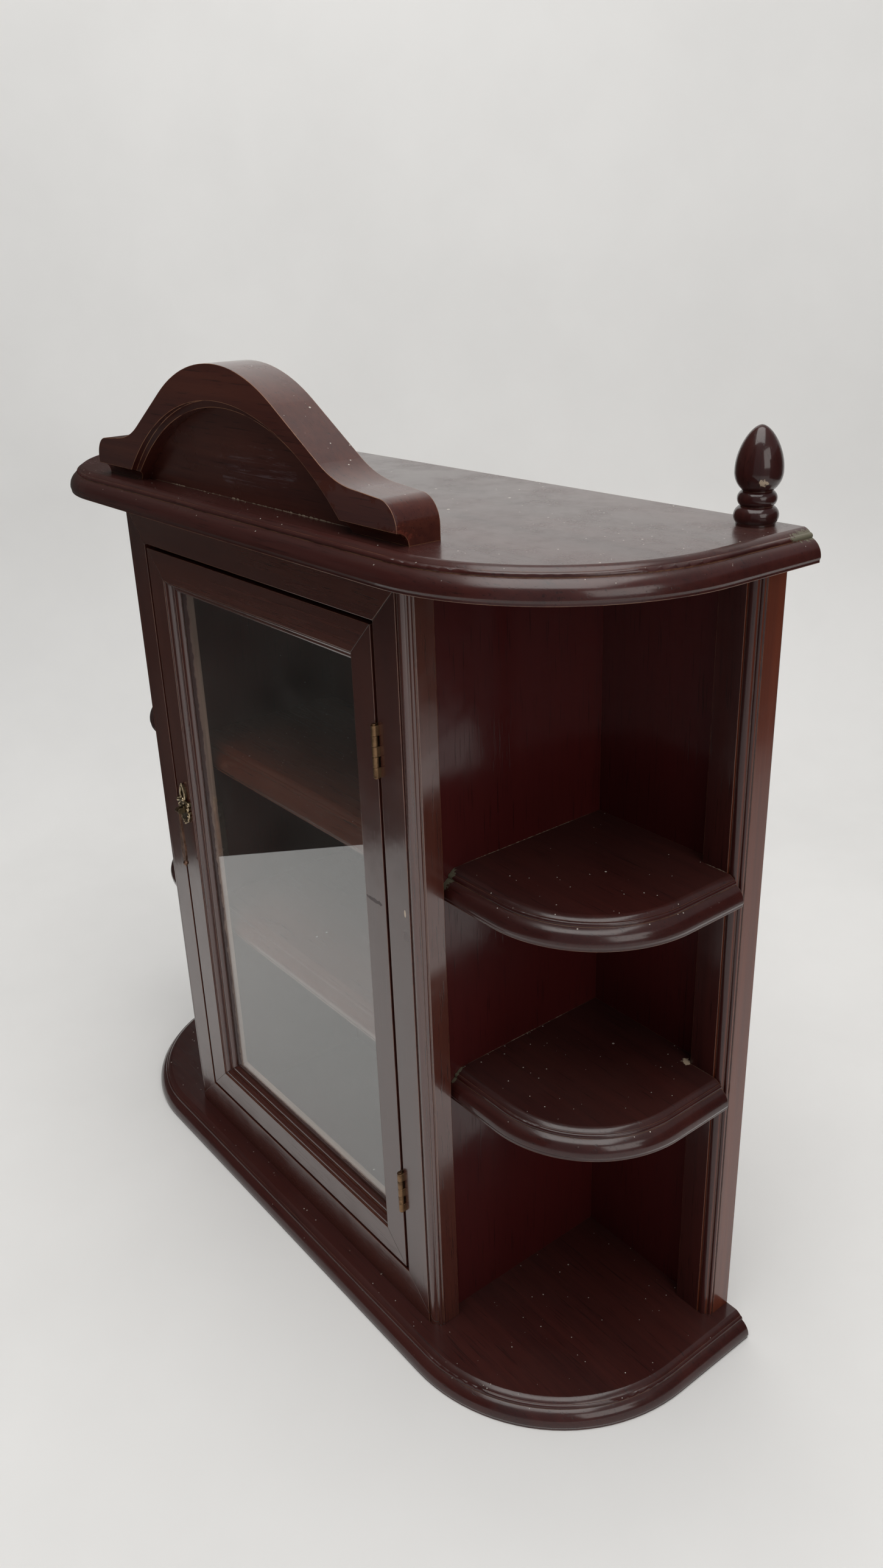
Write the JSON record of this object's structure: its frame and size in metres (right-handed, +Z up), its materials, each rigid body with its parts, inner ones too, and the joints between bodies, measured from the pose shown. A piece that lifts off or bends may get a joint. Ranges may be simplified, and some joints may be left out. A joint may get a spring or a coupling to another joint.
{
  "type": "curio display case",
  "caption": "Wooden display case with a glazed hinged door, inner shelves, rounded open side shelves, an arched pediment and turned finials.",
  "frame": {"origin": "middle of the footprint, on the underside of the base board", "axes": "+X to the case's right as seen from the front, -Y towards the viewer at the front, +Z up"},
  "size_m": [0.562, 0.1802, 0.5985],
  "materials": {
    "board_wood": "semi-gloss dark mahogany lacquer",
    "frame_wood": "semi-gloss dark mahogany lacquer",
    "door_wood": "semi-gloss dark mahogany lacquer",
    "panel_wood": "semi-gloss mahogany lacquer, redder",
    "back_wood": "semi-gloss mahogany lacquer on plywood",
    "post_wood": "semi-gloss dark mahogany lacquer",
    "shelf_wood": "semi-gloss dark mahogany lacquer",
    "pediment_wood": "semi-gloss dark mahogany lacquer",
    "tympanum_wood": "dull dark mahogany lacquer",
    "finial_wood": "gloss dark mahogany lacquer",
    "bare_wood": "unfinished beech dowel",
    "bead_wood": "thinly stained softwood",
    "pane_glass": "clear window glass",
    "hinge_brass": "dulled brass plate",
    "pull_brass": "antiqued dark brass",
    "screw_steel": "zinc plated steel",
    "hanger_steel": "brass plated steel",
    "catch_plastic": "brown moulded plastic",
    "magnet_ferrite": "sintered ferrite"
  },
  "bodies": {
    "cabinet": {"base_board": "board_wood", "top_board": "board_wood", "frame_left_stile": "frame_wood", "frame_right_stile": "frame_wood", "frame_top_rail": "frame_wood", "frame_bottom_rail": "frame_wood", "left_side_panel": "panel_wood", "right_side_panel": "panel_wood", "back_panel": "back_wood", "left_back_post": "post_wood", "right_back_post": "post_wood", "inner_shelf_lower": "shelf_wood", "inner_shelf_upper": "shelf_wood", "left_shelf_lower": "shelf_wood", "left_shelf_upper": "shelf_wood", "right_shelf_lower": "shelf_wood", "right_shelf_upper": "shelf_wood", "pediment_arch": "pediment_wood", "pediment_panel": "tympanum_wood", "left_finial": "finial_wood", "right_finial": "finial_wood", "base_screws": "screw_steel", "top_dowels": "bare_wood", "shelf_dowels": "bare_wood", "pediment_dowels": "bare_wood", "keyhole_hangers": "hanger_steel", "hanger_screws": "screw_steel", "upper_hinge_frame_leaf": "hinge_brass", "lower_hinge_frame_leaf": "hinge_brass", "upper_hinge_pin": "hinge_brass", "lower_hinge_pin": "hinge_brass", "hinge_frame_screws": "hinge_brass", "catch_body": "catch_plastic", "catch_magnet": "magnet_ferrite", "catch_screws": "screw_steel"},
    "door": {"door_left_stile": "door_wood", "door_right_stile": "door_wood", "door_top_rail": "door_wood", "door_bottom_rail": "door_wood", "door_glass": "pane_glass", "glazing_bead_left": "bead_wood", "glazing_bead_right": "bead_wood", "glazing_bead_top": "bead_wood", "glazing_bead_bottom": "bead_wood", "upper_hinge_door_leaf": "hinge_brass", "lower_hinge_door_leaf": "hinge_brass", "hinge_door_screws": "hinge_brass", "pull_plate": "pull_brass", "plate_pins": "pull_brass", "pull_stud": "pull_brass", "pull_nut": "screw_steel", "strike_plate": "screw_steel", "strike_screws": "screw_steel"},
    "pull": {"pull_drop": "pull_brass"}
  },
  "joints": [
    {"name": "door_hinge", "type": "hinge", "parent": "cabinet", "child": "door", "pos_m": [0.12845, -0.07005, 0.259], "axis": [0, 0, 1], "range_deg": [0, 175]},
    {"name": "pull_swing", "type": "hinge", "parent": "door", "child": "pull", "pos_m": [-0.11765, -0.0737, 0.291], "axis": [-1, 0, 0], "range_deg": [-3, 100]}
  ]
}
